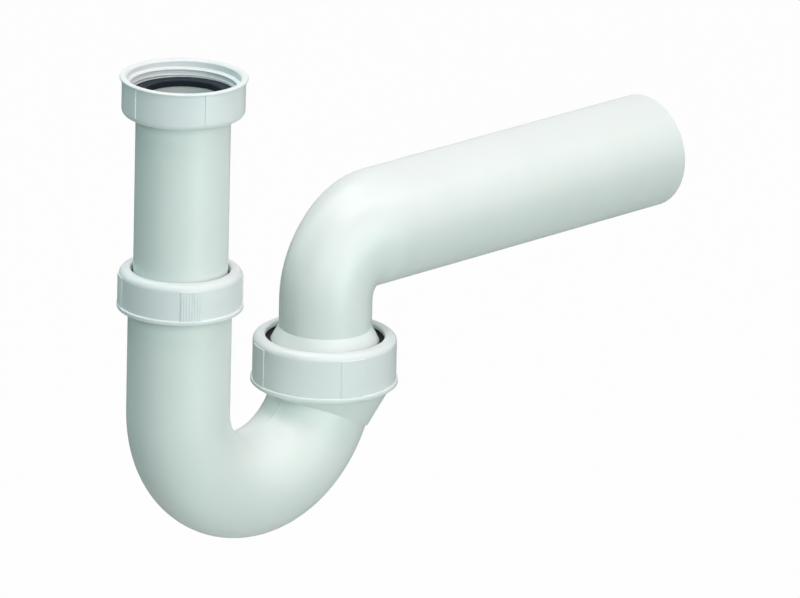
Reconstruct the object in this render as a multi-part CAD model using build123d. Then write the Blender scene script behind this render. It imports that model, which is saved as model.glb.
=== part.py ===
from build123d import *
import math
import os

# Tubular P-trap for a wash basin, millimetres and degrees.
# The origin is on the inlet axis in the sealing face of the inlet union, Z is up, and the outlet runs to +X.

# Pipes
inlet_tube_diameter = 40.0
inlet_tube_wall = 2.0
outlet_leg_diameter = 40.0
outlet_pipe_diameter = 50.0
outlet_wall = 1.8
trap_bend_wall = 1.7
trap_bend_swell = 2.0  # extra wall at the inside of the U-bend's lowest section
trap_bend_sections = 5

# Layout
trap_drop = 140.8  # sealing face down to the centre of the U-bend
bend_centre_radius = 43.2  # centreline radius of the U-bend
outlet_rise = 57.9  # centre of the U-bend up to the outlet pipe's axis
outlet_reach = 195.9  # outlet leg's axis to the end of the outlet pipe
throat_radius = 1.5  # inside corner of the outlet elbow
elbow_sections = 6

# Clearances
slip_clearance = 0.3  # radial, round the inlet tube
turn_clearance = 0.3  # between pieces that turn on each other
thread_clearance = 0.3  # radial, collar in its nut
flange_clearance = 0.4  # radial, flange in its nut
hole_clearance = 1.0  # radial, tube in the slip nut's hole
outlet_hole_clearance = 1.3  # radial, cone in the outlet nut's hole
ring_clearance = 0.1  # radial, cone in the outlet ring's bore

# Inlet union
tube_flange_width = 2.02  # flange outside the inlet tube, which brings the thread to G 1 1/2
tube_flange_thickness = 3.0
union_mouth_depth = 7.0  # rim of the nut above the sealing face
union_floor = 3.4
flat_seal_inset = 1.3  # seal's edge inside the tube's bore
flat_seal_thickness = 2.8
tube_end_height = 22.0  # lower end of the inlet tube above the centre of the U-bend
tube_end_chamfer = 0.8

# Slip joint
slip_nut_top = 63.8  # above the centre of the U-bend
slip_nut_height = 17.4
slip_nut_floor = 3.4
slip_ring_thickness = 1.8
cone_seal_width = 1.82  # radial, at the plain band
cone_seal_band = 2.0
cone_seal_taper = 4.0
cone_seal_lip = 0.8  # thickness of the seal's thin end
slip_collar_height = 9.0

# Outlet union
outlet_nut_top = 15.4  # above the centre of the U-bend
outlet_nut_height = 21.2
outlet_nut_floor = 2.2
outlet_ring_thickness = 2.0
outlet_flange_width = 2.64  # flange outside the cone's foot
outlet_flange_thickness = 3.0
outlet_seal_thickness = 3.0
outlet_spigot_length = 8.0
outlet_cone_height = 8.2
outlet_cone_angle = 28.0  # half angle of the cone above the flange
outlet_collar_height = 12.3
socket_wall = 3.9
bowl_neck = 1.6  # depth of the bowl at the inside of the U-bend
bowl_ledge = 1.2  # foot of the bowl outside the outer side of the U-bend
bowl_sink = 1.2  # foot of the hollow inside the U-bend's bore
bowl_wall = 2.2

# Nuts
nut_wall = 2.1
thread_height = 1.48
union_lip_height = 1.2
nut_lip_height = 1.9
union_lip_width = 1.0
nut_lip_width = 0.8
nut_lip_round = 0.5
nut_shoulder = 3.2
union_shoulder = 2.6
nut_hole_round = 1.0
mouth_chamfer = 0.8
pad_count = 4
pad_arc = 20.0
pad_raise = 0.35
pad_root = 0.5  # depth of a pad in the nut's wall
pad_gap = 2.6  # end of a pad below the nut's closed face
slip_pad_ribs = 8
rib_raise = 0.16
rib_gap = 0.8  # end of a rib below the end of its pad
union_nut_turn = -103.5
slip_nut_turn = -123.5
outlet_nut_turn = -111.0

# Shared radii and heights
tube_radius = inlet_tube_diameter / 2
tube_hole_radius = tube_radius + slip_clearance
leg_radius = outlet_leg_diameter / 2
pipe_radius = outlet_pipe_diameter / 2
trap_radius = tube_hole_radius + trap_bend_wall
tube_bore_radius = tube_radius - inlet_tube_wall
tube_flange_radius = tube_radius + tube_flange_width
union_thread_radius = tube_flange_radius + flange_clearance + thread_height
slip_seal_radius = tube_hole_radius + cone_seal_width
slip_thread_radius = slip_seal_radius + turn_clearance + thread_height
cone_foot_radius = leg_radius + outlet_cone_height * math.tan(math.radians(outlet_cone_angle))
outlet_flange_radius = cone_foot_radius + outlet_flange_width
outlet_thread_radius = outlet_flange_radius + flange_clearance + thread_height
bend_centre_z = -trap_drop
outlet_axis_x = 2 * bend_centre_radius


def revolved(corners, rounds=None, axis_x=0.0):
    """Solid of revolution about the vertical line at axis_x, from (radius, height) corners."""
    radii = rounds or [0] * len(corners)
    outline = FilletPolyline(*[(radius, 0, height) for radius, height in corners], radius=radii, close=True)
    return Pos(axis_x, 0, 0) * revolve(make_face(outline), axis=Axis.Z)


def ring(inner_radius, outer_radius, foot_z, top_z, axis_x=0.0):
    """Plain ring, or a cylinder where inner_radius is 0, about the vertical line at axis_x."""
    corners = [(inner_radius, foot_z), (outer_radius, foot_z), (outer_radius, top_z), (inner_radius, top_z)]
    return revolved(corners, axis_x=axis_x)


def arc_block(inner, outer, foot_z, top_z, turn, arc):
    """Block between two radii about the vertical axis, over an arc that is centred on the angle turn."""
    corners = [(inner, 0, foot_z), (outer, 0, foot_z), (outer, 0, top_z), (inner, 0, top_z)]
    section = make_face(Polyline(*corners, close=True))
    return Rot(0, 0, turn - arc / 2) * revolve(section, axis=Axis.Z, revolution_arc=arc)


def grip_pads(body_radius, foot_z, top_z, turn, ribs):
    """Raised pads round a nut, the first one centred on the angle turn, each with upright ribs."""
    face = body_radius + pad_raise
    blocks = [arc_block(body_radius - pad_root, face, foot_z, top_z, turn, pad_arc)]
    for index in range(ribs):
        pitch = pad_arc / ribs
        rib_turn = turn + (index - (ribs - 1) / 2) * pitch
        blocks.append(arc_block(body_radius, face + rib_raise, foot_z, top_z - rib_gap, rib_turn, pitch / 2))
    return [Rot(0, 0, index * 360 / pad_count) * block for index in range(pad_count) for block in blocks]


def union_nut(
    thread, height, floor, thread_depth, hole_radius, lip_width, lip_height, shoulder, turn, ribs=0
):
    """Nut with its open mouth at height 0 and its floor on top, threaded from the mouth to thread_depth."""
    chamber = thread - thread_height
    body = thread + nut_wall
    lip = body + lip_width
    outline = [
        ((thread + mouth_chamfer, 0), 0),
        ((lip, 0), nut_lip_round),
        ((lip, lip_height), nut_lip_round),
        ((body, lip_height), 0),
        ((body, height), shoulder),
        ((hole_radius, height), nut_hole_round),
        ((hole_radius, height - floor), 0),
        ((chamber, height - floor), 0),
        ((chamber, thread_depth), 0),
        ((thread, thread_depth), 0),
        ((thread, mouth_chamfer), 0),
    ]
    shell = revolved([corner for corner, _ in outline], [radius for _, radius in outline])
    return shell + grip_pads(body, lip_height / 2, height - pad_gap, turn, ribs)


# Inlet union, from the sealing face down
flange_top_z = -flat_seal_thickness
flange_foot_z = flange_top_z - tube_flange_thickness
union_foot_z = flange_foot_z - turn_clearance - union_floor
tube_end_z = bend_centre_z + tube_end_height


def inlet_union_nut():
    """Union nut that draws the inlet tube up to the basin waste, with its mouth upwards."""
    nut = union_nut(
        thread=union_thread_radius,
        height=union_mouth_depth - union_foot_z,
        floor=union_floor,
        thread_depth=union_mouth_depth,
        hole_radius=tube_hole_radius,
        lip_width=union_lip_width,
        lip_height=union_lip_height,
        shoulder=union_shoulder,
        turn=-union_nut_turn,  # turning the nut over mirrors the angle
    )
    return Pos(0, 0, union_mouth_depth) * Rot(180, 0, 0) * nut


def inlet_flat_seal():
    """Flat rubber ring between the basin waste and the tube's flange."""
    return ring(tube_bore_radius - flat_seal_inset, tube_flange_radius, flange_top_z, 0)


def inlet_tube():
    """Straight inlet tube with the flange that the union nut pulls on."""
    corners = [
        (tube_bore_radius, tube_end_z),
        (tube_radius - tube_end_chamfer, tube_end_z),
        (tube_radius, tube_end_z + 2 * tube_end_chamfer),
        (tube_radius, flange_foot_z),
        (tube_flange_radius, flange_foot_z),
        (tube_flange_radius, flange_top_z),
        (tube_bore_radius, flange_top_z),
    ]
    return revolved(corners)


# Slip joint, from the nut's ceiling down
slip_nut_top_z = bend_centre_z + slip_nut_top
slip_ring_top_z = slip_nut_top_z - slip_nut_floor - turn_clearance
cone_seal_top_z = slip_ring_top_z - slip_ring_thickness
cone_seal_shoulder_z = cone_seal_top_z - cone_seal_band
cone_seal_foot_z = cone_seal_shoulder_z - cone_seal_taper
slip_collar_top_z = cone_seal_shoulder_z - turn_clearance
slip_collar_foot_z = slip_collar_top_z - slip_collar_height
slip_collar_radius = slip_thread_radius - thread_clearance


def inlet_slip_nut():
    """Nut that squeezes the cone seal on to the inlet tube."""
    nut = union_nut(
        thread=slip_thread_radius,
        height=slip_nut_height,
        floor=slip_nut_floor,
        thread_depth=slip_nut_height - slip_nut_floor - slip_ring_thickness - cone_seal_band,
        hole_radius=tube_radius + hole_clearance,
        lip_width=nut_lip_width,
        lip_height=nut_lip_height,
        shoulder=nut_shoulder,
        turn=slip_nut_turn,
        ribs=slip_pad_ribs,
    )
    return Pos(0, 0, slip_nut_top_z - slip_nut_height) * nut


def inlet_slip_ring():
    """Hard ring that lets the nut turn without twisting the rubber."""
    return ring(tube_hole_radius, slip_seal_radius, cone_seal_top_z, slip_ring_top_z)


def inlet_cone_seal():
    """Rubber seal with a plain band and a taper that seats in the collar's mouth."""
    corners = [
        (tube_hole_radius, cone_seal_foot_z),
        (tube_hole_radius + cone_seal_lip, cone_seal_foot_z),
        (slip_seal_radius - turn_clearance, cone_seal_shoulder_z),
        (slip_seal_radius, cone_seal_shoulder_z),
        (slip_seal_radius, cone_seal_top_z),
        (tube_hole_radius, cone_seal_top_z),
    ]
    return revolved(corners)


# Outlet union, from the nut's ceiling down
outlet_nut_top_z = bend_centre_z + outlet_nut_top
outlet_ring_top_z = outlet_nut_top_z - outlet_nut_floor - turn_clearance
outlet_flange_top_z = outlet_ring_top_z - outlet_ring_thickness
outlet_flange_foot_z = outlet_flange_top_z - outlet_flange_thickness
outlet_seal_top_z = outlet_flange_foot_z - turn_clearance
outlet_collar_top_z = outlet_seal_top_z - outlet_seal_thickness
outlet_spigot_foot_z = outlet_flange_foot_z - outlet_spigot_length
outlet_collar_radius = outlet_thread_radius - thread_clearance
bowl_top_z = outlet_collar_top_z - outlet_collar_height
bowl_inner_reach = bend_centre_radius - trap_radius + bowl_ledge
bowl_turn = math.asin((bend_centre_z - bowl_top_z + bowl_neck) / bowl_inner_reach)
bowl_share = 1 - bowl_turn / math.pi  # place of the bowl's foot on the U's turn


def u_section(share, radius, swell=0.0, shift=0.0):
    """Section of the U at a share of its turn, which grows inwards by swell at the lowest point."""
    angle = share * math.pi
    outward = Vector(-math.cos(angle), 0, -math.sin(angle))
    growth = swell * math.sin(angle) ** 2 / 2
    reach = bend_centre_radius - growth + shift
    centre = Vector(bend_centre_radius, 0, bend_centre_z) + outward * reach
    return Plane(origin=centre, x_dir=outward, z_dir=outward.cross(Vector(0, 1, 0))) * Circle(radius + growth)


def u_run(radius, swell=0.0):
    """Lower half of the U, from the inlet leg round to the outlet leg."""
    lowest = (bend_centre_radius, 0, bend_centre_z - bend_centre_radius)
    path = ThreePointArc((0, 0, bend_centre_z), lowest, (outlet_axis_x, 0, bend_centre_z))
    last = trap_bend_sections - 1
    sections = [u_section(index / last, radius, swell) for index in range(trap_bend_sections)]
    return sweep(sections, path=path, multisection=True)


def slip_collar():
    """Threaded collar on top of the inlet leg, with a sloping foot."""
    foot_z = slip_collar_foot_z - (slip_collar_radius - trap_radius)
    corners = [
        (0, foot_z),
        (trap_radius, foot_z),
        (slip_collar_radius, slip_collar_foot_z),
        (slip_collar_radius, slip_collar_top_z),
        (0, slip_collar_top_z),
    ]
    return revolved(corners)


def slip_mouth():
    """Conical mouth of the slip collar, which follows the seal's taper at the turning clearance."""
    foot_z = cone_seal_foot_z - turn_clearance
    corners = [
        (0, foot_z),
        (tube_hole_radius + cone_seal_lip + turn_clearance, foot_z),
        (slip_seal_radius, slip_collar_top_z),
        (0, slip_collar_top_z),
    ]
    return revolved(corners)


def outlet_socket(foot, radius, shoulder_z):
    """Bowl that widens from a section of the U to a round collar on the outlet axis, or their hollow."""
    rim = Plane(origin=(outlet_axis_x, 0, shoulder_z)) * Circle(radius)
    bowl = loft([foot, rim], ruled=True)
    return bowl + ring(0, radius, shoulder_z, outlet_collar_top_z, outlet_axis_x)


def trap_bend():
    """U-bend with its slip collar, and the bowl that carries the outlet union's collar."""
    bowl_foot = u_section(bowl_share, trap_radius, trap_bend_swell, bowl_ledge)
    hollow_foot = u_section(bowl_share, tube_hole_radius - bowl_sink)
    leg = ring(0, trap_radius, bend_centre_z, slip_collar_top_z)
    body = leg + slip_collar() + u_run(trap_radius, trap_bend_swell)
    body += outlet_socket(bowl_foot, outlet_collar_radius, bowl_top_z)
    leg_bore = ring(0, tube_hole_radius, bend_centre_z, slip_collar_top_z)
    waterway = leg_bore + slip_mouth() + u_run(tube_hole_radius)
    waterway += outlet_socket(hollow_foot, outlet_collar_radius - socket_wall, bowl_top_z + bowl_wall)
    return body - waterway


def outlet_union_nut():
    """Large nut that clamps the outlet bend's flange on the trap bend."""
    stack = outlet_ring_thickness + outlet_flange_thickness + outlet_seal_thickness
    nut = union_nut(
        thread=outlet_thread_radius,
        height=outlet_nut_height,
        floor=outlet_nut_floor,
        thread_depth=outlet_nut_height - outlet_nut_floor - stack,
        hole_radius=cone_foot_radius + outlet_hole_clearance,
        lip_width=nut_lip_width,
        lip_height=nut_lip_height,
        shoulder=nut_shoulder,
        turn=outlet_nut_turn,
    )
    return Pos(outlet_axis_x, 0, outlet_nut_top_z - outlet_nut_height) * nut


def outlet_seal():
    """Flat rubber ring on the trap bend's outlet collar."""
    inner = leg_radius + turn_clearance
    return ring(inner, outlet_flange_radius, outlet_collar_top_z, outlet_seal_top_z, outlet_axis_x)


def outlet_slip_ring():
    """Hard ring on the outlet bend's flange, with a bore that follows the cone."""
    slope = math.tan(math.radians(outlet_cone_angle))
    bore = cone_foot_radius + ring_clearance
    corners = [
        (bore, outlet_flange_top_z),
        (outlet_flange_radius, outlet_flange_top_z),
        (outlet_flange_radius, outlet_ring_top_z),
        (bore - outlet_ring_thickness * slope, outlet_ring_top_z),
    ]
    return revolved(corners, axis_x=outlet_axis_x)


# Outlet elbow: a throat arc and a crown arc, with both centres at one height, touch the leg and the pipe.
pipe_axis_z = bend_centre_z + outlet_rise
elbow_z = pipe_axis_z - pipe_radius - throat_radius
throat_centre = Vector(outlet_axis_x + leg_radius + throat_radius, 0, elbow_z)
crown_radius = throat_radius + outlet_pipe_diameter
crown_centre = Vector(outlet_axis_x - leg_radius + crown_radius, 0, elbow_z)
pipe_end_x = outlet_axis_x + outlet_reach


def elbow_plane(share, inset):
    """Plane across the elbow at a share of the turn, and its half depth; inset is the wall left out."""
    angle = share * math.pi / 2
    outward = Vector(-math.cos(angle), 0, math.sin(angle))
    throat = throat_centre + outward * (throat_radius + inset)
    crown = crown_centre + outward * (crown_radius - inset)
    across = (throat - crown).normalized()
    plane = Plane(origin=(throat + crown) * 0.5, x_dir=across, z_dir=across.cross(Vector(0, 1, 0)))
    return plane, (crown - throat).length / 2


def elbow_section(share, inset):
    """Oval section of the elbow, which swells smoothly from the leg's width to the pipe's."""
    plane, half_depth = elbow_plane(share, inset)
    swell = share**2
    half_width = leg_radius + (pipe_radius - leg_radius) * swell**2 * (3 - 2 * swell) - inset
    return plane * Ellipse(max(half_depth, half_width), half_width)


def outlet_run(inset, foot_z, end_x):
    """Leg, elbow and pipe as one solid core, inset from the outer surface by a wall."""
    leg = ring(0, leg_radius - inset, foot_z, elbow_z, outlet_axis_x)
    elbow = loft([elbow_section(index / (elbow_sections - 1), inset) for index in range(elbow_sections)])
    end = Plane(origin=(end_x, 0, pipe_axis_z), z_dir=(-1, 0, 0))
    pipe = extrude(end * Circle(pipe_radius - inset), amount=end_x - outlet_axis_x)
    elbow_end, _ = elbow_plane(1, inset)
    return leg + elbow + split(pipe, bisect_by=elbow_end, keep=Keep.TOP)


def outlet_collar():
    """Flange under the outlet nut, and the cone that rises from it to the leg."""
    cone_top_z = outlet_flange_top_z + outlet_cone_height
    corners = [
        (0, outlet_flange_foot_z),
        (outlet_flange_radius, outlet_flange_foot_z),
        (outlet_flange_radius, outlet_flange_top_z),
        (cone_foot_radius, outlet_flange_top_z),
        (leg_radius, cone_top_z),
        (0, cone_top_z),
    ]
    return revolved(corners, axis_x=outlet_axis_x)


def outlet_bend():
    """Spigot, flange, cone, swelling elbow and outlet pipe, moulded as one piece."""
    body = outlet_run(0, outlet_spigot_foot_z, pipe_end_x) + outlet_collar()
    return body - outlet_run(outlet_wall, outlet_spigot_foot_z, pipe_end_x)


nodes = [
    inlet_union_nut,
    inlet_flat_seal,
    inlet_tube,
    inlet_slip_nut,
    inlet_slip_ring,
    inlet_cone_seal,
    trap_bend,
    outlet_union_nut,
    outlet_seal,
    outlet_slip_ring,
    outlet_bend,
]

os.makedirs("parts", exist_ok=True)
for node in nodes:
    export_step(node(), f"parts/{node.__name__}.step")
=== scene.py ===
"""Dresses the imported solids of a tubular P-trap: nuts, inlet thread, seals, plastics and light."""

import logging
import math
from dataclasses import dataclass, field
from enum import Enum
from typing import Any

import bmesh
import bpy
from mathutils import Matrix, Vector

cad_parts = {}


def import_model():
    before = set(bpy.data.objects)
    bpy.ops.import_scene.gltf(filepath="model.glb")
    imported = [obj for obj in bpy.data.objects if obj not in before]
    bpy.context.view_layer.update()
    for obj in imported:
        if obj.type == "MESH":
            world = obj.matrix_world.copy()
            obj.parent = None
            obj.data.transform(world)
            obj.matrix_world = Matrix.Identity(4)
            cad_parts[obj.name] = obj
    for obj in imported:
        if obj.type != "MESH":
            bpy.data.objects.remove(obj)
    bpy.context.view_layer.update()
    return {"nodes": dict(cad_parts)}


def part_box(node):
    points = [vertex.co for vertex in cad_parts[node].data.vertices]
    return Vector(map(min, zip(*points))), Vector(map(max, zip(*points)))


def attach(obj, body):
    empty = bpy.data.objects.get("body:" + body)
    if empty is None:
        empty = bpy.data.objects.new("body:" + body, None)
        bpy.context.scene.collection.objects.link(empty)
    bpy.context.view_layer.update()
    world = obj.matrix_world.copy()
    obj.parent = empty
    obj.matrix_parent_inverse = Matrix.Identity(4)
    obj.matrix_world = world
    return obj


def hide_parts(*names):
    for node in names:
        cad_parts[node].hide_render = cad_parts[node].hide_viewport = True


LOG = logging.getLogger("tubular_trap")
MM = 0.001
TURN_STEPS = 192
MERGE_DISTANCE = 1e-6
SHARP_ANGLE = math.radians(38)
ROUND_PROFILE = 0.5
NOISE_LOW, NOISE_HIGH = 0.3, 0.7


class Slot(Enum):
    """Material slots of the record."""

    POLYPROPYLENE = "white_polypropylene"
    POLYETHYLENE = "black_polyethylene"
    RUBBER = "black_rubber"


class Mouth(Enum):
    """Way that the open end of a nut points, as the sign of the way from mouth to floor."""

    UP = -1
    DOWN = 1


def linear(colour: str) -> tuple[float, float, float, float]:
    """Turns an sRGB colour to the linear values that shaders use.

    Args:
        colour: Hex value such as "#EDF3F1".

    Returns:
        Linear red, green and blue, and an alpha of 1.
    """
    parts = [int(colour[start : start + 2], 16) / 255 for start in (1, 3, 5)]
    red, green, blue = (
        part / 12.92 if part <= 0.04045 else ((part + 0.055) / 1.055) ** 2.4 for part in parts
    )
    return red, green, blue, 1.0


def add_node(
    tree: bpy.types.NodeTree,
    kind: str,
    settings: dict[str, Any] | None = None,
    inputs: dict[str | int, Any] | None = None,
) -> bpy.types.Node:
    """Adds one shader node with its settings and links.

    Args:
        tree: Node tree that takes the node.
        kind: Blender's name of the node type.
        settings: Attributes of the node.
        inputs: A plain value or an output socket for each input, by its name or index.

    Returns:
        The new node.
    """
    node = tree.nodes.new(kind)
    for name, value in (settings or {}).items():
        setattr(node, name, value)
    for key, value in (inputs or {}).items():
        if isinstance(value, bpy.types.NodeSocket):
            tree.links.new(value, node.inputs[key])
        else:
            node.inputs[key].default_value = value
    return node


def per_metre(size_mm: float) -> float:
    """Scale of a texture whose features are size_mm across."""
    return 1.0 / (size_mm * MM)


@dataclass(frozen=True)
class Moulding:
    """Finish of a moulded surface: a skin colour with clouds, uneven gloss, ripple and fine peel."""

    name: str
    skin: str
    cloud: str
    cloud_mm: float
    cloud_stretch: tuple[float, float, float]
    roughness: tuple[float, float]
    gloss_mm: float
    ior: float
    ripple_mm: float
    ripple_height_mm: float
    peel_mm: float
    peel_height_mm: float
    specular: float = 0.5
    cloud_octaves: float = 3.0
    gloss_octaves: float = 2.0
    ripple_octaves: float = 1.0
    peel_octaves: float = 2.0

    def material(self) -> bpy.types.Material:
        """Builds the material.

        Returns:
            The node material, on Object coordinates.
        """
        material = bpy.data.materials.new(self.name)
        material.use_nodes = True
        tree = material.node_tree
        tree.nodes.clear()
        place = add_node(tree, "ShaderNodeTexCoord").outputs["Object"]
        stretched = add_node(
            tree, "ShaderNodeMapping", inputs={"Vector": place, "Scale": self.cloud_stretch}
        ).outputs["Vector"]
        clouds = self.noise(tree, stretched, self.cloud_mm, self.cloud_octaves)
        colour = add_node(
            tree,
            "ShaderNodeMix",
            {"data_type": "RGBA"},
            {0: clouds, 6: linear(self.skin), 7: linear(self.cloud)},
        ).outputs[2]
        gloss = add_node(
            tree,
            "ShaderNodeMapRange",
            inputs={
                "Value": self.noise(tree, place, self.gloss_mm, self.gloss_octaves),
                "From Min": NOISE_LOW,
                "From Max": NOISE_HIGH,
                "To Min": self.roughness[0],
                "To Max": self.roughness[1],
            },
        ).outputs["Result"]
        ripple = add_node(
            tree,
            "ShaderNodeBump",
            inputs={
                "Distance": self.ripple_height_mm * MM,
                "Height": self.noise(tree, place, self.ripple_mm, self.ripple_octaves),
            },
        ).outputs["Normal"]
        peel = add_node(
            tree,
            "ShaderNodeBump",
            inputs={
                "Distance": self.peel_height_mm * MM,
                "Height": self.noise(tree, place, self.peel_mm, self.peel_octaves),
                "Normal": ripple,
            },
        ).outputs["Normal"]
        shader = add_node(
            tree,
            "ShaderNodeBsdfPrincipled",
            inputs={
                "Base Color": colour,
                "Roughness": gloss,
                "IOR": self.ior,
                "Specular IOR Level": self.specular,
                "Normal": peel,
            },
        )
        add_node(tree, "ShaderNodeOutputMaterial", inputs={"Surface": shader.outputs["BSDF"]})
        return material

    @staticmethod
    def noise(
        tree: bpy.types.NodeTree, vector: bpy.types.NodeSocket, size_mm: float, detail: float
    ) -> bpy.types.NodeSocket:
        """Adds a noise pattern.

        Args:
            tree: Node tree of the material.
            vector: Coordinates that the pattern reads.
            size_mm: Width of its features.
            detail: Octaves of finer noise.

        Returns:
            The pattern's value socket.
        """
        node = add_node(
            tree,
            "ShaderNodeTexNoise",
            inputs={"Vector": vector, "Scale": per_metre(size_mm), "Detail": detail},
        )
        return node.outputs[0]


# White polypropylene from a polished tool: a cool white with soft wide highlights and faint flow clouds.
PIPE_PLASTIC = Moulding(
    name="injection_moulded_polypropylene",
    skin="#EEF4F1",
    cloud="#E6EEEA",
    cloud_mm=22.0,
    cloud_stretch=(1.0, 1.0, 0.45),
    roughness=(0.29, 0.38),
    gloss_mm=7.0,
    ior=1.49,
    ripple_mm=9.0,
    ripple_height_mm=0.030,
    peel_mm=0.7,
    peel_height_mm=0.004,
)

# The same plastic in the nuts, from a tool with a finer texture: a little bluer and less glossy.
NUT_PLASTIC = Moulding(
    name="textured_polypropylene",
    skin="#EEF3F3",
    cloud="#E5ECEC",
    cloud_mm=14.0,
    cloud_stretch=(1.0, 1.0, 1.0),
    roughness=(0.32, 0.42),
    gloss_mm=4.0,
    ior=1.49,
    ripple_mm=6.0,
    ripple_height_mm=0.012,
    peel_mm=0.45,
    peel_height_mm=0.005,
)

# Moulded nitrile rubber: near black and matt. The blue in its skin and clouds is a painted bluish sheen,
# put on the whole seal in place of the reflected sheen on its top.
SEAL_RUBBER = Moulding(
    name="nitrile_rubber_with_painted_sheen",
    # skin and cloud carry the painted bluish sheen
    skin="#0D141B",
    cloud="#1A2732",
    cloud_mm=5.0,
    cloud_stretch=(1.0, 1.0, 1.0),
    roughness=(0.58, 0.76),
    gloss_mm=2.0,
    ior=1.52,
    ripple_mm=4.0,
    ripple_height_mm=0.02,
    peel_mm=0.35,
    peel_height_mm=0.012,
    specular=0.22,
)

# Polyethylene with carbon black: dark, waxy and matt. Its black also paints the shade in the gap round
# the tube, so that gap stays dark.
RING_PLASTIC = Moulding(
    name="black_polyethylene_with_painted_gap_shade",
    # the near-black skin also serves as painted shade in the gap round the tube
    skin="#0C0E0F",
    cloud="#141718",
    cloud_mm=8.0,
    cloud_stretch=(1.0, 1.0, 1.0),
    roughness=(0.60, 0.74),
    gloss_mm=3.0,
    ior=1.51,
    ripple_mm=5.0,
    ripple_height_mm=0.02,
    peel_mm=0.6,
    peel_height_mm=0.006,
    specular=0.15,
)


@dataclass
class Palette:
    """The materials of the trap, made once and shared by its pieces."""

    pipe: bpy.types.Material = field(default_factory=PIPE_PLASTIC.material)
    nut: bpy.types.Material = field(default_factory=NUT_PLASTIC.material)
    rubber: bpy.types.Material = field(default_factory=SEAL_RUBBER.material)
    ring: bpy.types.Material = field(default_factory=RING_PLASTIC.material)


@dataclass(frozen=True)
class Corner:
    """One corner of a turned profile, in millimetres."""

    radius: float
    height: float
    rounding: float = 0.0
    segments: int = 3


def turned(corners: list[Corner], axis_x: float = 0.0) -> bmesh.types.BMesh:
    """Turns a closed profile about an upright axis.

    Args:
        corners: Profile, in order round its outline.
        axis_x: Place of the axis, in millimetres.

    Returns:
        A closed mesh in metres.
    """
    mesh = bmesh.new()
    points = [mesh.verts.new((corner.radius * MM, 0, corner.height * MM)) for corner in corners]
    mesh.faces.new(points)
    for point, corner in zip(points, corners):
        if corner.rounding:
            bmesh.ops.bevel(
                mesh,
                geom=[point],
                offset=corner.rounding * MM,
                offset_type="OFFSET",
                segments=corner.segments,
                profile=ROUND_PROFILE,
                affect="VERTICES",
                material=-1,
            )
    bmesh.ops.delete(mesh, geom=mesh.faces[:], context="FACES_ONLY")
    bmesh.ops.spin(
        mesh,
        geom=mesh.verts[:] + mesh.edges[:],
        cent=(0, 0, 0),
        axis=(0, 0, 1),
        angle=2 * math.pi,
        steps=TURN_STEPS,
        use_merge=True,
    )
    bmesh.ops.remove_doubles(mesh, verts=mesh.verts, dist=MERGE_DISTANCE)
    bmesh.ops.translate(mesh, verts=mesh.verts, vec=(axis_x * MM, 0, 0))
    bmesh.ops.recalc_face_normals(mesh, faces=mesh.faces)
    return mesh


def join(target: bmesh.types.BMesh, part: bmesh.types.BMesh) -> None:
    """Moves the geometry of part into target.

    Args:
        target: Mesh that grows.
        part: Mesh that is used up.
    """
    carrier = bpy.data.meshes.new("carrier")
    part.to_mesh(carrier)
    part.free()
    target.from_mesh(carrier)
    bpy.data.meshes.remove(carrier)


def add_piece(
    name: str,
    mesh: bmesh.types.BMesh,
    material: bpy.types.Material,
    body: str,
    nodes: tuple[str, ...] = (),
) -> bpy.types.Object:
    """Makes a piece of the object from a mesh that is already in its place.

    Args:
        name: Name of the piece.
        mesh: Geometry in metres, which is used up.
        material: Finish of the piece.
        body: Body that the piece rides on.
        nodes: Nodes that the piece stands for.

    Returns:
        The new object.
    """
    data = bpy.data.meshes.new(name)
    mesh.to_mesh(data)
    mesh.free()
    data.materials.append(material)
    data.shade_smooth()
    data.set_sharp_from_angle(angle=SHARP_ANGLE)
    piece = bpy.data.objects.new(name, data)
    bpy.context.scene.collection.objects.link(piece)
    weighted = piece.modifiers.new("flat faces first", "WEIGHTED_NORMAL")
    weighted.keep_sharp = True
    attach(piece, body)
    if nodes:
        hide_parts(*nodes)
    LOG.info("%s: %d faces on %s", name, len(data.polygons), body)
    return piece


def dress_node(node: bpy.types.Object, material: bpy.types.Material) -> None:
    """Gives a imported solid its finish.

    Args:
        node: Object of the solid.
        material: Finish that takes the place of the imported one.
    """
    node.data.materials.clear()
    node.data.materials.append(material)
    LOG.info("%s: dressed as %s", node.name, material.name)


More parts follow.
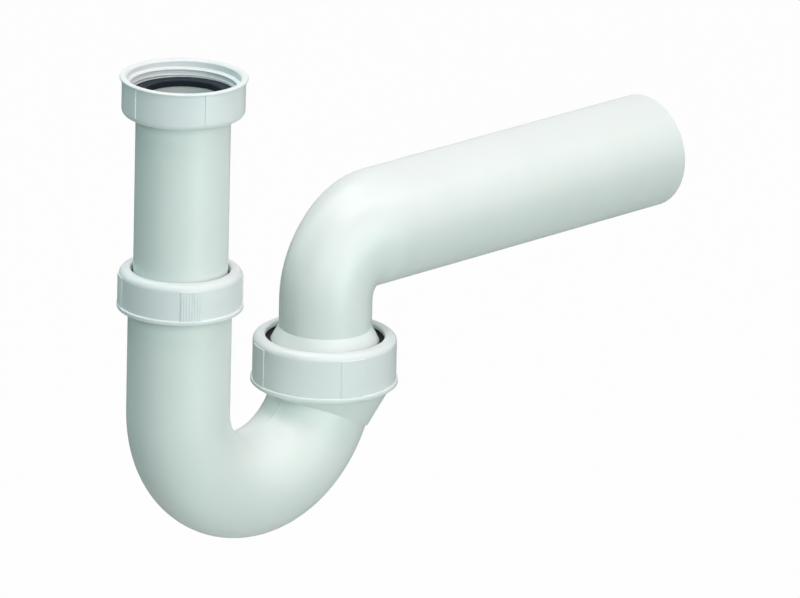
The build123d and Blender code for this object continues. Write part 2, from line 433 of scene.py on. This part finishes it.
@dataclass
class GripPads:
    """Raised pads round a nut, in millimetres and degrees."""

    turn: float
    count: int = 4
    arc: float = 20.0
    steps: int = 12
    raise_mm: float = 0.4
    root: float = 0.5
    edge_round: float = 0.16
    edge_segments: int = 2
    edge_angle: float = 60.0
    ribs: int = 0
    rib_radius: float = 0.33
    rib_raise: float = 0.16
    rib_gap: float = 0.8
    rib_segments: int = 12

    def build(self, body_radius: float, mouth_end: float, floor_end: float) -> bmesh.types.BMesh:
        """Builds all the pads of a nut about the vertical axis.

        Args:
            body_radius: Outside of the nut's wall.
            mouth_end: Height of the end towards the mouth.
            floor_end: Height of the end towards the floor.

        Returns:
            The pads and their ribs.
        """
        mesh = bmesh.new()
        inner = (body_radius - self.root) * MM
        outer = (body_radius + self.raise_mm) * MM
        low = mouth_end * MM
        high = floor_end * MM
        outline = [(inner, 0, low), (outer, 0, low), (outer, 0, high), (inner, 0, high)]
        mesh.faces.new([mesh.verts.new(point) for point in outline])
        bmesh.ops.spin(
            mesh,
            geom=mesh.verts[:] + mesh.edges[:] + mesh.faces[:],
            cent=(0, 0, 0),
            axis=(0, 0, 1),
            angle=math.radians(self.arc),
            steps=self.steps,
        )
        bmesh.ops.remove_doubles(mesh, verts=mesh.verts, dist=MERGE_DISTANCE)
        bmesh.ops.recalc_face_normals(mesh, faces=mesh.faces)
        edges = [
            edge
            for edge in mesh.edges
            if edge.calc_face_angle(0) > math.radians(self.edge_angle)
            and all(vert.co.xy.length > body_radius * MM for vert in edge.verts)
        ]
        bmesh.ops.bevel(
            mesh,
            geom=edges,
            offset=self.edge_round * MM,
            offset_type="OFFSET",
            segments=self.edge_segments,
            profile=ROUND_PROFILE,
            affect="EDGES",
            material=-1,
        )
        self.add_ribs(mesh, body_radius, mouth_end, floor_end)
        bmesh.ops.rotate(
            mesh,
            verts=mesh.verts,
            cent=(0, 0, 0),
            matrix=Matrix.Rotation(math.radians(self.turn - self.arc / 2), 3, "Z"),
        )
        bmesh.ops.spin(
            mesh,
            geom=mesh.verts[:] + mesh.edges[:] + mesh.faces[:],
            cent=(0, 0, 0),
            axis=(0, 0, 1),
            angle=2 * math.pi * (self.count - 1) / self.count,
            steps=self.count - 1,
            use_duplicate=True,
        )
        return mesh

    def add_ribs(
        self, mesh: bmesh.types.BMesh, body_radius: float, mouth_end: float, floor_end: float
    ) -> None:
        """Adds the upright half-round ribs of one pad, which starts at angle 0.

        Args:
            mesh: Mesh of the pad.
            body_radius: Outside of the nut's wall.
            mouth_end: Height of the end towards the mouth.
            floor_end: Height of the end towards the floor.
        """
        way = math.copysign(1, floor_end - mouth_end)
        top = floor_end - way * self.rib_gap
        centre = body_radius + self.raise_mm + self.rib_raise - self.rib_radius
        for index in range(self.ribs):
            angle = math.radians((index + 0.5) * self.arc / self.ribs)
            place = Matrix.Rotation(angle, 4, "Z") @ Matrix.Translation(
                (centre * MM, 0, (mouth_end + top) / 2 * MM)
            )
            bmesh.ops.create_cone(
                mesh,
                cap_ends=True,
                segments=self.rib_segments,
                radius1=self.rib_radius * MM,
                radius2=self.rib_radius * MM,
                depth=abs(top - mouth_end) * MM,
                matrix=place,
            )


@dataclass
class ScrewThread:
    """Internal pipe thread: one ridge that winds round inside a nut, in millimetres and degrees."""

    pitch: float = 2.309
    height: float = 1.42
    turns: float = 1.85
    first_depth: float = 2.8
    start_angle: float = -120.0
    foot_width: float = 1.75
    crest_width: float = 0.42
    crest_round: float = 0.17
    crest_segments: int = 2
    root: float = 0.3
    steps: int = 72

    def build(self, radius: float, mouth: float, way: int) -> bmesh.types.BMesh:
        """Builds the ridge about the vertical axis.

        Args:
            radius: Radius of the thread's root, on the nut's wall.
            mouth: Height of the nut's mouth.
            way: Sign of the way from the mouth into the nut.

        Returns:
            The ridge, with both ends run out into the wall.
        """
        mesh = bmesh.new()
        middle = mouth + way * self.first_depth
        crest = radius - self.height
        outline = [
            (radius + self.root, -self.foot_width / 2),
            (radius, -self.foot_width / 2),
            (crest, -self.crest_width / 2),
            (crest, self.crest_width / 2),
            (radius, self.foot_width / 2),
            (radius + self.root, self.foot_width / 2),
        ]
        start = [mesh.verts.new((reach * MM, 0, (middle + rise) * MM)) for reach, rise in outline]
        mesh.faces.new(start)
        for point in (start[2], start[3]):
            bmesh.ops.bevel(
                mesh,
                geom=[point],
                offset=self.crest_round * MM,
                offset_type="OFFSET",
                segments=self.crest_segments,
                profile=ROUND_PROFILE,
                affect="VERTICES",
                material=-1,
            )
        first = mesh.verts[:]
        count = round(self.steps * self.turns)
        spun = bmesh.ops.spin(
            mesh,
            geom=mesh.verts[:] + mesh.edges[:] + mesh.faces[:],
            cent=(0, 0, 0),
            axis=(0, 0, 1),
            dvec=(0, 0, way * self.pitch * self.turns / count * MM),
            angle=way * 2 * math.pi * self.turns,
            steps=count,
        )
        last = [item for item in spun["geom_last"] if isinstance(item, bmesh.types.BMVert)]
        for end in (first, last):
            centre = sum((vert.co for vert in end), Vector()) / len(end)
            outwards = centre.xy.normalized() * self.height * MM
            bmesh.ops.translate(mesh, verts=end, vec=(outwards.x, outwards.y, 0))
        bmesh.ops.rotate(
            mesh,
            verts=mesh.verts,
            cent=(0, 0, 0),
            matrix=Matrix.Rotation(math.radians(self.start_angle), 3, "Z"),
        )
        bmesh.ops.recalc_face_normals(mesh, faces=mesh.faces)
        return mesh


@dataclass
class MouldedNut:
    """Nut of the trap: a turned shell with a bead, grip pads and, where it shows, its thread, in mm."""

    node: str
    body: str
    name: str
    mouth: Mouth
    thread_radius: float
    floor: float
    thread_depth: float
    hole_radius: float
    lip_width: float
    shoulder: float
    pads: GripPads
    thread: ScrewThread | None = None
    axis_x: float = 0.0
    wall: float = 2.1
    thread_height: float = 1.48
    lip_height: float = 1.9
    lip_round: float = 0.55
    hole_round: float = 1.0
    mouth_chamfer: float = 0.8
    bead_edge: float = 0.25
    inner_edge: float = 0.2
    chamber_round: float = 0.4
    pad_gap: float = 2.6

    def build(self, palette: Palette) -> bpy.types.Object:
        """Builds and dresses the nut in the place of its solid.

        Args:
            palette: Materials of the trap.

        Returns:
            The nut.
        """
        low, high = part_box(self.node)
        height = (high.z - low.z) / MM
        way = self.mouth.value
        mouth = (low.z if self.mouth is Mouth.DOWN else high.z) / MM
        mesh = turned(self.profile(mouth, height))
        body_radius = self.thread_radius + self.wall
        ends = (mouth + way * self.lip_height / 2, mouth + way * (height - self.pad_gap))
        join(mesh, self.pads.build(body_radius, *ends))
        if self.thread:
            join(mesh, self.thread.build(self.thread_radius, mouth, way))
        bmesh.ops.translate(mesh, verts=mesh.verts, vec=(self.axis_x * MM, 0, 0))
        bmesh.ops.recalc_face_normals(mesh, faces=mesh.faces)
        return add_piece(
            self.name, mesh, palette.nut, self.body, (self.node,)
        )

    def profile(self, mouth: float, height: float) -> list[Corner]:
        """Section of the shell.

        Args:
            mouth: Height of the open end.
            height: Length of the nut.

        Returns:
            Corners from the thread's mouth, out over the bead and back through the hole.
        """
        thread = self.thread_radius
        chamber = thread - self.thread_height
        outside = thread + self.wall
        lip = outside + self.lip_width
        depths = [
            (thread + self.mouth_chamfer, 0.0, self.bead_edge, 2),
            (lip, 0.0, self.lip_round, 5),
            (lip, self.lip_height, self.lip_round, 5),
            (outside, self.lip_height, self.bead_edge, 2),
            (outside, height, self.shoulder, 12),
            (self.hole_radius, height, self.hole_round, 5),
            (self.hole_radius, height - self.floor, self.inner_edge, 2),
            (chamber, height - self.floor, self.chamber_round, 2),
            (chamber, self.thread_depth, self.inner_edge, 2),
            (thread, self.thread_depth, 0.0, 1),
            (thread, self.mouth_chamfer, self.inner_edge, 2),
        ]
        way = self.mouth.value
        return [
            Corner(radius, mouth + way * depth, size, count)
            for radius, depth, size, count in depths
        ]


@dataclass
class InletUnion:
    """Union at the top: the inlet tube, its flat seal and the nut with its mouth upwards."""

    nut: MouldedNut = field(
        default_factory=lambda: MouldedNut(
            node="inlet_union_nut",
            body="inlet_union_nut",
            name="union_nut_shell",
            mouth=Mouth.UP,
            thread_radius=23.9,
            floor=3.4,
            thread_depth=7.0,
            hole_radius=20.3,
            lip_width=1.0,
            lip_height=1.2,
            shoulder=2.6,
            pads=GripPads(turn=-103.5),
            thread=ScrewThread(),
        )
    )
    bore_radius: float = 18.0
    tube_radius: float = 20.0
    flange_radius: float = 22.02
    flange_thickness: float = 3.0
    flange_edge: float = 0.3
    flange_fillet: float = 0.25
    end_chamfer: float = 0.8
    end_edge: float = 0.2
    chamfer_round: float = 0.6
    seal_bore_radius: float = 16.7
    seal_foot_edge: float = 0.3
    seal_top_edge: float = 0.45

    def build(self, palette: Palette) -> None:
        """Builds the nut, the tube and the seal.

        Args:
            palette: Materials of the trap.
        """
        self.nut.build(palette)
        self.build_tube(palette)
        self.build_seal(palette)

    def build_tube(self, palette: Palette) -> None:
        """Turns the inlet tube with its flange.

        Args:
            palette: Materials of the trap.
        """
        low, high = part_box("inlet_tube")
        foot, top = low.z / MM, high.z / MM
        flange_foot = top - self.flange_thickness
        corners = [
            Corner(self.bore_radius, foot, self.flange_edge, 2),
            Corner(self.tube_radius - self.end_chamfer, foot, self.end_edge, 2),
            Corner(self.tube_radius, foot + 2 * self.end_chamfer, self.chamfer_round, 3),
            Corner(self.tube_radius, flange_foot, self.flange_fillet, 2),
            Corner(self.flange_radius, flange_foot, self.flange_edge, 2),
            Corner(self.flange_radius, top, self.flange_edge, 2),
            Corner(self.bore_radius, top, self.flange_edge, 2),
        ]
        add_piece(
            "inlet_tube_shell",
            turned(corners),
            palette.pipe,
            "inlet_tube",
            ("inlet_tube",),
        )

    def build_seal(self, palette: Palette) -> None:
        """Turns the flat seal with softened edges.

        Args:
            palette: Materials of the trap.
        """
        low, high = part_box("inlet_flat_seal")
        foot, top = low.z / MM, high.z / MM
        corners = [
            Corner(self.seal_bore_radius, foot, self.seal_foot_edge, 2),
            Corner(self.flange_radius, foot, self.seal_foot_edge, 2),
            Corner(self.flange_radius, top, self.seal_top_edge, 3),
            Corner(self.seal_bore_radius, top, self.seal_top_edge, 3),
        ]
        add_piece(
            "flat_seal_ring",
            turned(corners),
            palette.rubber,
            "inlet_tube",
            ("inlet_flat_seal",),
        )


@dataclass
class SlipJoint:
    """Sliding joint half way up the inlet: a nut with ribbed pads over a hard ring and a cone seal."""

    nut: MouldedNut = field(
        default_factory=lambda: MouldedNut(
            node="inlet_slip_nut",
            body="inlet_slip_nut",
            name="slip_nut_shell",
            mouth=Mouth.DOWN,
            thread_radius=23.9,
            floor=3.4,
            thread_depth=10.2,
            hole_radius=21.0,
            lip_width=0.8,
            shoulder=3.2,
            pads=GripPads(turn=-123.5, ribs=8),
        )
    )

    def build(self, palette: Palette, nodes: dict[str, bpy.types.Object]) -> None:
        """Builds the nut and dresses the ring and the seal under it.

        Args:
            palette: Materials of the trap.
            nodes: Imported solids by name.
        """
        self.nut.build(palette)
        dress_node(nodes["inlet_slip_ring"], palette.ring)
        dress_node(nodes["inlet_cone_seal"], palette.rubber)


@dataclass
class TrapBend:
    """U-bend with its inlet leg and the bowl under the outlet union, in millimetres and degrees."""

    centre_x: float = 43.2
    centre_z: float = -140.8
    seam_start: float = -30.0
    seam_end: float = -61.0
    seam_taper: float = -52.0
    seam_step: float = 2.0
    seam_width: float = 0.55
    seam_tip: float = 0.1
    seam_height: float = 0.16
    wall_least: float = 1.2

    def build(self, palette: Palette, nodes: dict[str, bpy.types.Object]) -> None:
        """Dresses the moulding and adds the seam of its mould.

        Args:
            palette: Materials of the trap.
            nodes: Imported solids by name.
        """
        dress_node(nodes["trap_bend"], palette.pipe)
        self.build_seam(palette, nodes["trap_bend"])

    def polar(self, place: Vector) -> tuple[float, float]:
        """Angle and reach of a point about the centre of the bend, in degrees and millimetres."""
        across, rise = place.x / MM - self.centre_x, place.z / MM - self.centre_z
        return math.degrees(math.atan2(rise, across)), math.hypot(across, rise)

    def build_seam(self, palette: Palette, bend: bpy.types.Object) -> None:
        """Adds the raised line that the mould's halves leave inside the bend, from the bowl to the notch.

        Args:
            palette: Materials of the trap.
            bend: Solid whose middle section the line follows.
        """
        mesh = bmesh.new()
        mesh.from_mesh(bend.data)
        bmesh.ops.remove_doubles(mesh, verts=mesh.verts, dist=MERGE_DISTANCE)
        bmesh.ops.bisect_plane(
            mesh,
            geom=mesh.verts[:] + mesh.edges[:] + mesh.faces[:],
            dist=MERGE_DISTANCE,
            plane_co=(0, 0, 0),
            plane_no=(0, 1, 0),
            clear_inner=True,
            clear_outer=True,
        )
        nearest: dict[int, float] = {}
        for vert in mesh.verts:
            angle, reach = self.polar(vert.co)
            step = round(angle / self.seam_step)
            nearest[step] = min(reach, nearest.get(step, math.inf))
        spare = []
        for vert in mesh.verts:
            angle, reach = self.polar(vert.co)
            inside = reach <= nearest[round(angle / self.seam_step)] + self.wall_least
            if not inside or not self.seam_end < angle < self.seam_start:
                spare.append(vert)
        bmesh.ops.delete(mesh, geom=spare, context="VERTS")
        grown = bmesh.ops.extrude_edge_only(mesh, edges=mesh.edges[:])["geom"]
        side = [item for item in grown if isinstance(item, bmesh.types.BMVert)]
        bmesh.ops.translate(mesh, verts=side, vec=(0, self.seam_width * MM, 0))
        bmesh.ops.translate(mesh, verts=mesh.verts, vec=(0, -self.seam_width / 2 * MM, 0))
        for vert in mesh.verts:
            angle, _ = self.polar(vert.co)
            share = (angle - self.seam_end) / (self.seam_taper - self.seam_end)
            vert.co.y *= min(1.0, max(self.seam_tip, share))
        bmesh.ops.recalc_face_normals(mesh, faces=mesh.faces)
        seam = add_piece("mould_seam", mesh, palette.pipe, "trap_bend")
        thicken = seam.modifiers.new("ridge", "SOLIDIFY")
        thicken.thickness = 2 * self.seam_height * MM
        thicken.offset = 0.0


@dataclass
class OutletUnion:
    """Large union under the outlet bend, with its nut's mouth downwards."""

    nut: MouldedNut = field(
        default_factory=lambda: MouldedNut(
            node="outlet_union_nut",
            body="outlet_union_nut",
            name="outlet_nut_shell",
            mouth=Mouth.DOWN,
            thread_radius=28.88,
            floor=2.2,
            thread_depth=11.0,
            hole_radius=25.66,
            lip_width=0.8,
            shoulder=3.2,
            pads=GripPads(turn=-111.0),
            axis_x=86.4,
        )
    )

    def build(self, palette: Palette, nodes: dict[str, bpy.types.Object]) -> None:
        """Builds the nut and dresses the ring and the seal under it.

        Args:
            palette: Materials of the trap.
            nodes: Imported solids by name.
        """
        self.nut.build(palette)
        dress_node(nodes["outlet_slip_ring"], palette.ring)
        dress_node(nodes["outlet_seal"], palette.rubber)


@dataclass
class OutletBend:
    """Outlet moulding: cone and flange, leg, elbow that swells, and the plain pipe."""

    def build(self, palette: Palette, nodes: dict[str, bpy.types.Object]) -> None:
        """Dresses the moulding.

        Args:
            palette: Materials of the trap.
            nodes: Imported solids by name.
        """
        dress_node(nodes["outlet_bend"], palette.pipe)


@dataclass(frozen=True)
class Softbox:
    """Square soft lamp that looks at the middle of the trap, in degrees, metres and watts."""

    name: str
    azimuth: float
    elevation: float
    power: float
    colour: str
    distance: float = 1.6
    size: float = 0.9


@dataclass
class Studio:
    """Camera, lamps, white surroundings and the pale floor."""

    middle: Vector = field(default_factory=lambda: Vector((0.10, 0.0, -0.10)))
    camera_pivot: Vector = field(default_factory=lambda: Vector((0.0, 0.0, -0.1408)))
    camera_azimuth: float = -45.25
    camera_elevation: float = 18.38
    camera_roll: float = 1.49
    camera_distance: float = 3.8068
    camera_right: float = 0.09386
    camera_up: float = 0.04702
    lens: float = 405.0
    sensor: float = 36.0
    clip_end: float = 100.0
    floor_height: float = -0.95
    floor_radius: float = 12.0
    floor_sides: int = 96
    floor_colour: str = "#F4F4F2"
    floor_white: float = 0.985
    backdrop_colour: str = "#FFFFFF"
    lamps: tuple[Softbox, ...] = (
        Softbox("overhead", -60.0, 75.0, 8.9, "#FFEEF2"),
        Softbox("front_soft", -45.0, 28.0, 4.2, "#F6FFFA"),
        Softbox("front_low", -9.0, 0.0, 7.8, "#E1FFF8"),
        Softbox("front_right", -9.0, 28.0, 6.1, "#FFEBF0"),
        Softbox("left_fill", -81.0, 28.0, 3.4, "#C8FBFC"),
        Softbox("back_left", -153.0, 28.0, 4.8, "#CEFFF7"),
        Softbox("back_top", 180.0, 58.0, 7.7, "#F7F9FA"),
        Softbox("right_top", 45.0, 58.0, 4.9, "#FFF8FA"),
        Softbox("right_rim", 63.0, 28.0, 2.2, "#E8FFF8"),
    )

    def build(self) -> None:
        """Sets up the whole studio."""
        self.add_camera()
        for lamp in self.lamps:
            self.add_lamp(lamp)
        self.add_room()
        self.add_floor()
        bpy.context.scene.view_settings.view_transform = "Standard"

    @staticmethod
    def direction(azimuth: float, elevation: float) -> Vector:
        """Unit vector towards a viewer at those angles, with azimuth 0 in front, at -Y."""
        turn, lift = math.radians(azimuth), math.radians(elevation)
        return Vector(
            (math.sin(turn) * math.cos(lift), -math.cos(turn) * math.cos(lift), math.sin(lift))
        )

    def add_camera(self) -> None:
        """Places the camera at the photograph's angle, with its small roll."""
        back = self.direction(self.camera_azimuth, self.camera_elevation)
        level = Vector((0, 0, 1)).cross(back).normalized()
        turn = Matrix.Rotation(math.radians(self.camera_roll), 3, back)
        right = turn @ level
        up = turn @ back.cross(level)
        place = self.camera_pivot + back * self.camera_distance
        place += right * self.camera_right + up * self.camera_up
        data = bpy.data.cameras.new("camera")
        data.lens = self.lens
        data.sensor_width = self.sensor
        data.sensor_fit = "HORIZONTAL"
        data.clip_end = self.clip_end
        camera = bpy.data.objects.new("camera", data)
        camera.matrix_world = Matrix.Translation(place) @ Matrix((right, up, back)).transposed().to_4x4()
        bpy.context.scene.collection.objects.link(camera)
        bpy.context.scene.camera = camera

    def add_lamp(self, lamp: Softbox) -> None:
        """Hangs one soft lamp.

        Args:
            lamp: Place, size and light of the lamp.
        """
        data = bpy.data.lights.new(lamp.name, "AREA")
        data.shape = "SQUARE"
        data.size = lamp.size
        data.energy = lamp.power
        data.color = linear(lamp.colour)[:3]
        away = self.direction(lamp.azimuth, lamp.elevation)
        lantern = bpy.data.objects.new(lamp.name, data)
        lantern.matrix_world = (
            Matrix.Translation(self.middle + away * lamp.distance)
            @ away.to_track_quat("Z", "Y").to_matrix().to_4x4()
        )
        bpy.context.scene.collection.objects.link(lantern)
        LOG.info("lamp %s: %.1f W", lamp.name, lamp.power)

    def add_room(self) -> None:
        """Surrounds the trap with white that only the camera, reflections and clear pieces see."""
        world = bpy.data.worlds.new("room")
        world.use_nodes = True
        tree = world.node_tree
        tree.nodes.clear()
        path = add_node(tree, "ShaderNodeLightPath")
        seen = path.outputs["Is Camera Ray"]
        for kind in ("Is Glossy Ray", "Is Transmission Ray"):
            seen = add_node(
                tree, "ShaderNodeMath", {"operation": "MAXIMUM"}, {0: seen, 1: path.outputs[kind]}
            ).outputs[0]
        white = add_node(
            tree,
            "ShaderNodeBackground",
            inputs={"Color": linear(self.backdrop_colour), "Strength": seen},
        )
        add_node(tree, "ShaderNodeOutputWorld", inputs={"Surface": white.outputs["Background"]})
        bpy.context.scene.world = world

    def add_floor(self) -> None:
        """Lays a round pale floor well below the trap, white to the camera where no shadow falls."""
        mesh = bmesh.new()
        bmesh.ops.create_circle(mesh, cap_ends=True, segments=self.floor_sides, radius=self.floor_radius)
        bmesh.ops.translate(mesh, verts=mesh.verts, vec=(0, 0, self.floor_height))
        data = bpy.data.meshes.new("floor")
        mesh.to_mesh(data)
        mesh.free()
        material = bpy.data.materials.new("pale_painted_floor")
        material.use_nodes = True
        tree = material.node_tree
        tree.nodes.clear()
        paint = add_node(tree, "ShaderNodeBsdfDiffuse", inputs={"Color": linear(self.floor_colour)})
        white = add_node(tree, "ShaderNodeEmission", inputs={"Color": linear(self.backdrop_colour)})
        path = add_node(tree, "ShaderNodeLightPath")
        share = add_node(
            tree,
            "ShaderNodeMath",
            {"operation": "MULTIPLY"},
            {0: path.outputs["Is Camera Ray"], 1: self.floor_white},
        )
        mix = add_node(
            tree,
            "ShaderNodeMixShader",
            inputs={0: share.outputs[0], 1: paint.outputs["BSDF"], 2: white.outputs["Emission"]},
        )
        add_node(tree, "ShaderNodeOutputMaterial", inputs={"Surface": mix.outputs["Shader"]})
        data.materials.append(material)
        floor = bpy.data.objects.new("floor", data)
        bpy.context.scene.collection.objects.link(floor)


def main() -> None:
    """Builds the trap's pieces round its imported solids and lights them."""
    logging.basicConfig(level=logging.INFO, format="%(name)s: %(message)s")
    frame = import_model()
    nodes = frame["nodes"]
    palette = Palette()
    InletUnion().build(palette)
    SlipJoint().build(palette, nodes)
    TrapBend().build(palette, nodes)
    OutletUnion().build(palette, nodes)
    OutletBend().build(palette, nodes)
    Studio().build()
    bpy.context.view_layer.update()


if __name__ == "__main__":
    main()
